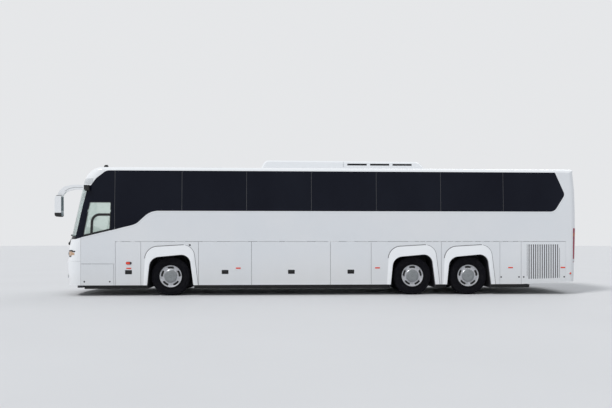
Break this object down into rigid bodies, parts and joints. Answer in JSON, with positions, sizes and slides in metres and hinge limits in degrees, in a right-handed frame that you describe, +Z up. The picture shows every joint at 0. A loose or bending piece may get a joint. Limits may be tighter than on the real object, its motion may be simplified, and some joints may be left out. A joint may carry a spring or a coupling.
{
  "type": "three-axle high-deck touring coach bus",
  "caption": "White high-deck touring coach with a dark window band, opening luggage doors, turning wheels and steering.",
  "frame": {"origin": "centre of the bounding box on the ground plane", "axes": "+X towards the front, +Y towards the left side, +Z up"},
  "size_m": [13.7798, 2.78, 3.5896],
  "materials": {
    "body_paint": "gloss white coach paint",
    "dark_glass": "dark tinted bonded glass",
    "screen_glass": "pale green laminated glass",
    "chassis": "black chassis paint",
    "tyre": "black rubber",
    "wheel_trim": "silver wheel paint",
    "lining": "dark moulded plastic",
    "floor": "grey floor covering",
    "seat_fabric": "dark blue woven fabric",
    "trim_black": "gloss black plastic",
    "lamp": "clear lamp cover",
    "red_lamp": "red lamp cover",
    "casting": "raw casting"
  },
  "bodies": {
    "coach": {"dashboard": "trim_black", "door_glazing": "screen_glass", "drive_axle": "chassis", "driver_seat": "seat_fabric", "engine_block": "casting", "front_axle": "chassis", "front_bumper": "body_paint", "front_dome": "body_paint", "front_mask": "body_paint", "headlamps": "lamp", "luggage_hold": "lining", "mirror_arms": "body_paint", "mirror_heads": "body_paint", "passenger_doors": "body_paint", "passenger_seats": "seat_fabric", "rear_dome": "body_paint", "rear_mask": "body_paint", "rear_window": "dark_glass", "roof_panel": "body_paint", "roof_pod": "body_paint", "saloon_floor": "floor", "side_glazing": "dark_glass", "side_wall_left": "body_paint", "side_wall_right": "body_paint", "skirt_left": "body_paint", "skirt_right": "body_paint", "tag_axle": "chassis", "tail_lamps": "red_lamp", "underframe": "chassis", "wheel_housings": "lining", "windscreen": "screen_glass", "wipers": "trim_black"},
    "steering_wheel": {"steering_wheel": "trim_black"},
    "steer_left": {"knuckle_left": "casting"},
    "steer_right": {"knuckle_right": "casting"},
    "wheel_front_left": {"tyre_front_left": "tyre", "rim_front_left": "wheel_trim"},
    "wheel_front_right": {"tyre_front_right": "tyre", "rim_front_right": "wheel_trim"},
    "wheel_drive_left": {"tyre_drive_left": "tyre", "rim_drive_left": "wheel_trim"},
    "wheel_drive_right": {"tyre_drive_right": "tyre", "rim_drive_right": "wheel_trim"},
    "wheel_tag_left": {"tyre_tag_left": "tyre", "rim_tag_left": "wheel_trim"},
    "wheel_tag_right": {"tyre_tag_right": "tyre", "rim_tag_right": "wheel_trim"},
    "service_door_left": {"service_door_left": "body_paint"},
    "hold_door_left_front": {"hold_door_left_front": "body_paint"},
    "hold_door_left_middle": {"hold_door_left_middle": "body_paint"},
    "hold_door_left_rear": {"hold_door_left_rear": "body_paint"},
    "battery_door_left": {"battery_door_left": "body_paint"},
    "grille_door_left": {"grille_door_left": "body_paint"},
    "service_door_right": {"service_door_right": "body_paint"},
    "hold_door_right_front": {"hold_door_right_front": "body_paint"},
    "hold_door_right_middle": {"hold_door_right_middle": "body_paint"},
    "low_flap_left": {"low_flap_left": "body_paint"},
    "engine_lid": {"engine_lid": "body_paint"}
  },
  "joints": [
    {"name": "steering_wheel_turn", "type": "hinge", "parent": "coach", "child": "steering_wheel", "pos_m": [5.96, 0.64, 1.7], "axis": [-0.5, 0, 0.866], "range_deg": [-630.5, 630.5]},
    {"name": "steer_left_turn", "type": "hinge", "parent": "coach", "child": "steer_left", "pos_m": [3.99, 0.985, 0.505], "axis": [0, 0, 1], "range_deg": [-35, 35]},
    {"name": "steer_right_turn", "type": "hinge", "parent": "coach", "child": "steer_right", "pos_m": [3.99, -0.985, 0.505], "axis": [0, 0, 1], "range_deg": [-35, 35]},
    {"name": "wheel_front_left_spin", "type": "hinge", "parent": "steer_left", "child": "wheel_front_left", "pos_m": [3.99, 1.066, 0.505], "axis": [0, 1, 0], "continuous": true},
    {"name": "wheel_front_right_spin", "type": "hinge", "parent": "steer_right", "child": "wheel_front_right", "pos_m": [3.99, -1.066, 0.505], "axis": [0, 1, 0], "continuous": true},
    {"name": "wheel_drive_left_spin", "type": "hinge", "parent": "coach", "child": "wheel_drive_left", "pos_m": [-2.37, 1.066, 0.505], "axis": [0, 1, 0], "continuous": true},
    {"name": "wheel_drive_right_spin", "type": "hinge", "parent": "coach", "child": "wheel_drive_right", "pos_m": [-2.37, -1.066, 0.505], "axis": [0, 1, 0], "continuous": true},
    {"name": "wheel_tag_left_spin", "type": "hinge", "parent": "coach", "child": "wheel_tag_left", "pos_m": [-3.87, 1.066, 0.505], "axis": [0, 1, 0], "continuous": true},
    {"name": "wheel_tag_right_spin", "type": "hinge", "parent": "coach", "child": "wheel_tag_right", "pos_m": [-3.87, -1.066, 0.505], "axis": [0, 1, 0], "continuous": true},
    {"name": "service_door_left_swing", "type": "hinge", "parent": "coach", "child": "service_door_left", "pos_m": [5.0725, 1.257, 1.415], "axis": [1, 0, 0], "range_deg": [0, 85]},
    {"name": "hold_door_left_front_swing", "type": "hinge", "parent": "coach", "child": "hold_door_left_front", "pos_m": [2.574, 1.257, 1.415], "axis": [1, 0, 0], "range_deg": [0, 85]},
    {"name": "hold_door_left_middle_swing", "type": "hinge", "parent": "coach", "child": "hold_door_left_middle", "pos_m": [0.8495, 1.257, 1.415], "axis": [1, 0, 0], "range_deg": [0, 85]},
    {"name": "hold_door_left_rear_swing", "type": "hinge", "parent": "coach", "child": "hold_door_left_rear", "pos_m": [-0.7225, 1.257, 1.415], "axis": [1, 0, 0], "range_deg": [0, 85]},
    {"name": "battery_door_left_swing", "type": "hinge", "parent": "coach", "child": "battery_door_left", "pos_m": [-4.997, 1.257, 1.415], "axis": [1, 0, 0], "range_deg": [0, 85]},
    {"name": "grille_door_left_swing", "type": "hinge", "parent": "coach", "child": "grille_door_left", "pos_m": [-5.8925, 1.257, 1.415], "axis": [1, 0, 0], "range_deg": [0, 85]},
    {"name": "service_door_right_swing", "type": "hinge", "parent": "coach", "child": "service_door_right", "pos_m": [5.0725, -1.257, 1.415], "axis": [-1, 0, 0], "range_deg": [0, 85]},
    {"name": "hold_door_right_front_swing", "type": "hinge", "parent": "coach", "child": "hold_door_right_front", "pos_m": [2.574, -1.257, 1.415], "axis": [-1, 0, 0], "range_deg": [0, 85]},
    {"name": "hold_door_right_middle_swing", "type": "hinge", "parent": "coach", "child": "hold_door_right_middle", "pos_m": [0.8495, -1.257, 1.415], "axis": [-1, 0, 0], "range_deg": [0, 85]},
    {"name": "low_flap_left_swing", "type": "hinge", "parent": "coach", "child": "low_flap_left", "pos_m": [5.8585, 1.257, 0.836], "axis": [1, 0, 0], "range_deg": [0, 85]},
    {"name": "engine_lid_swing", "type": "hinge", "parent": "coach", "child": "engine_lid", "pos_m": [-6.885, 0, 1.56], "axis": [0, 1, 0], "range_deg": [0, 80]}
  ],
  "couplings": [
    {"joint": "steering_wheel_turn", "follows": "steer_left_turn", "ratio": 18},
    {"joint": "steer_right_turn", "follows": "steer_left_turn", "ratio": 1}
  ]
}
